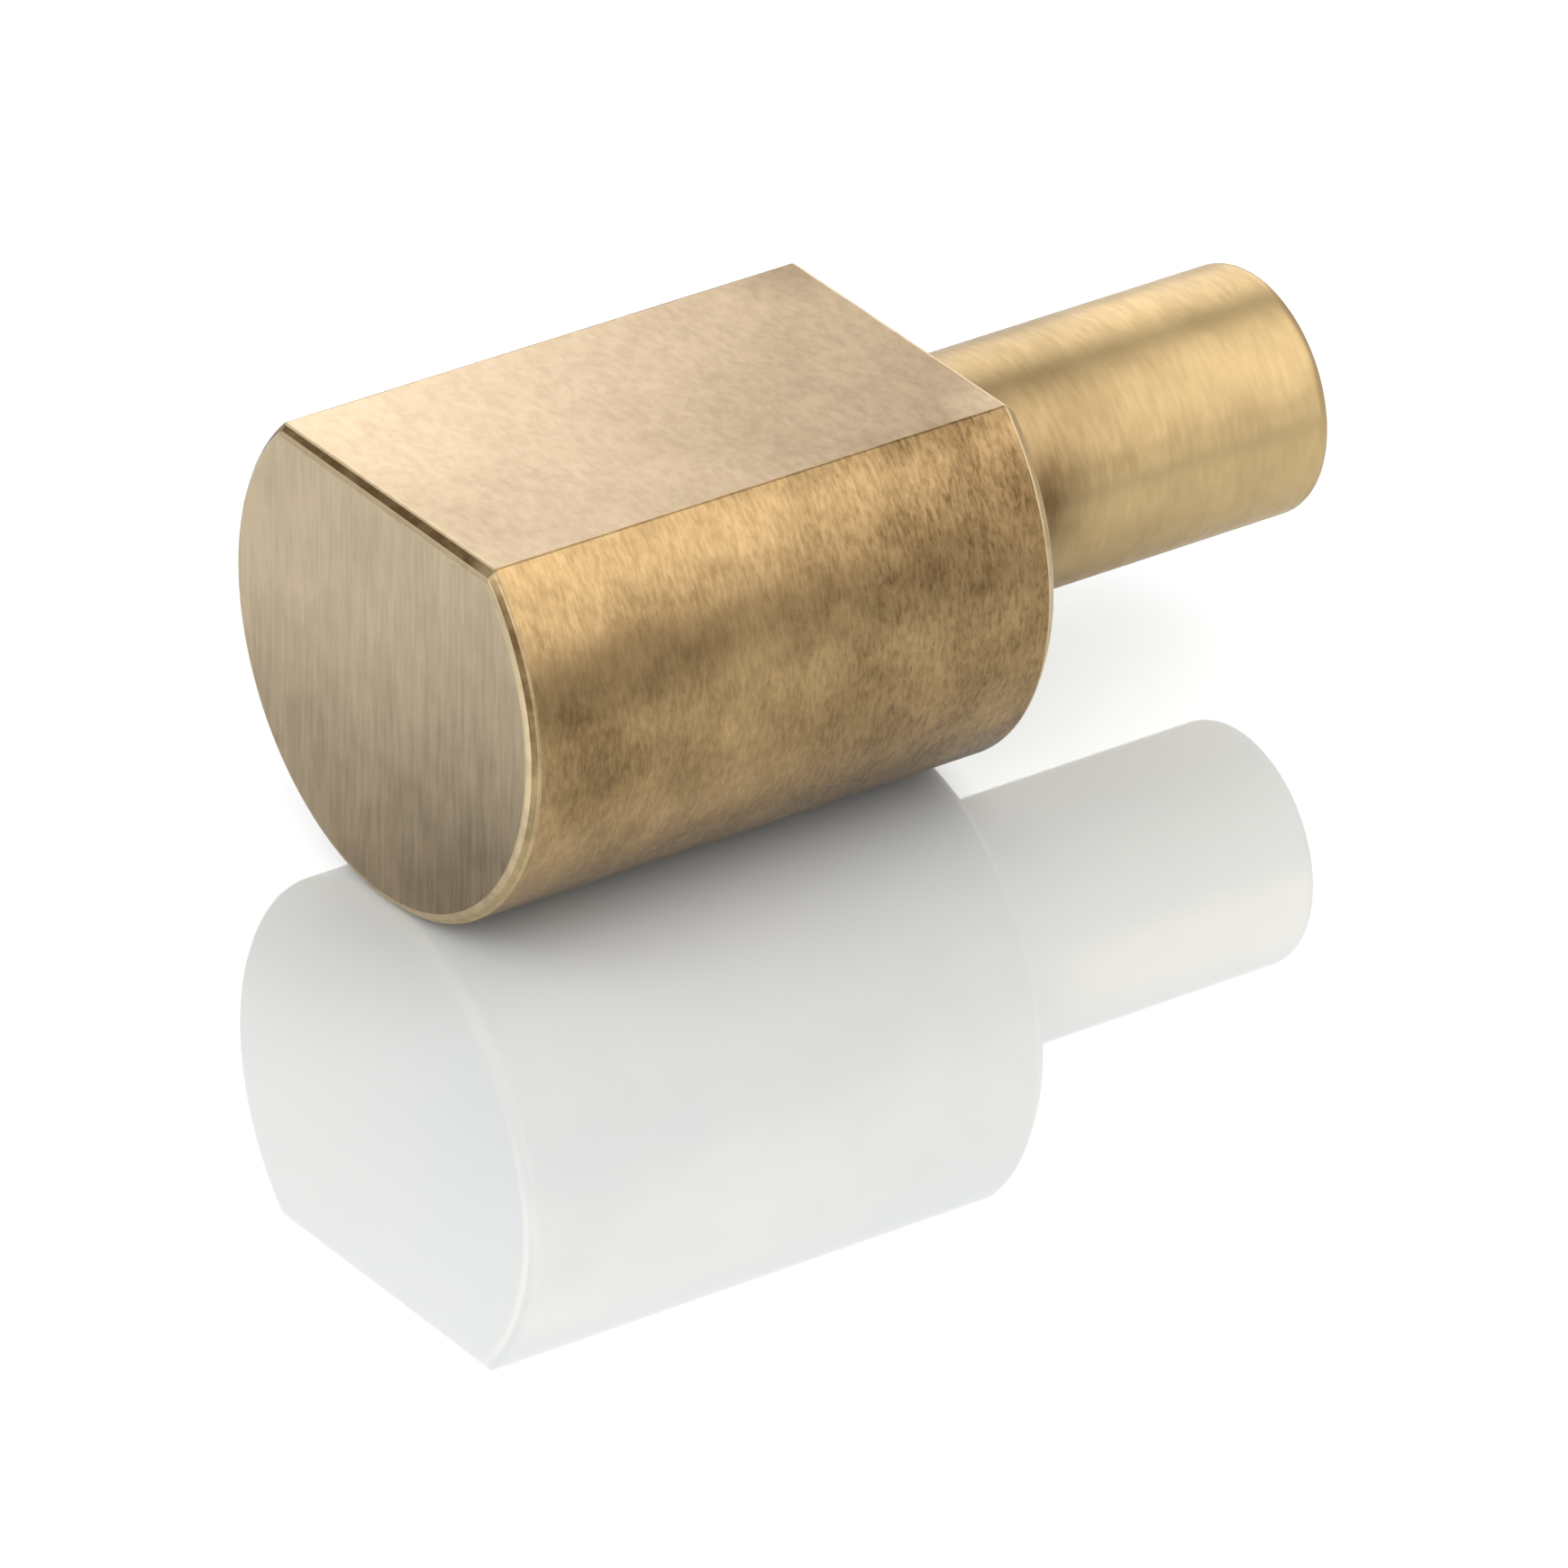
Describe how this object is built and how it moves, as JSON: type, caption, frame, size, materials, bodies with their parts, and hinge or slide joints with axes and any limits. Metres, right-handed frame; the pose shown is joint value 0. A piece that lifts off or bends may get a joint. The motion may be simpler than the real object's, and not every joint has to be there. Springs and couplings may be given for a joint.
{
  "type": "shelf support pin",
  "caption": "Solid turned shelf support: a round head with a milled flat that carries the shelf, and a slimmer plain pin that plugs into a drilled hole in the cabinet side.",
  "frame": {"origin": "where the pin's axis meets the shoulder, which is the plane of the cabinet side's surface", "axes": "+Y along the pin, into its hole; the front face looks along -Y; +Z square to the milled seat, up; +X completes the frame, across the seat"},
  "size_m": [0.01, 0.0202, 0.0086],
  "materials": {
    "brass": "antique brass, brushed and lightly darkened, unlacquered"
  },
  "bodies": {
    "root": {"shelf_pin": "brass"}
  },
  "joints": []
}
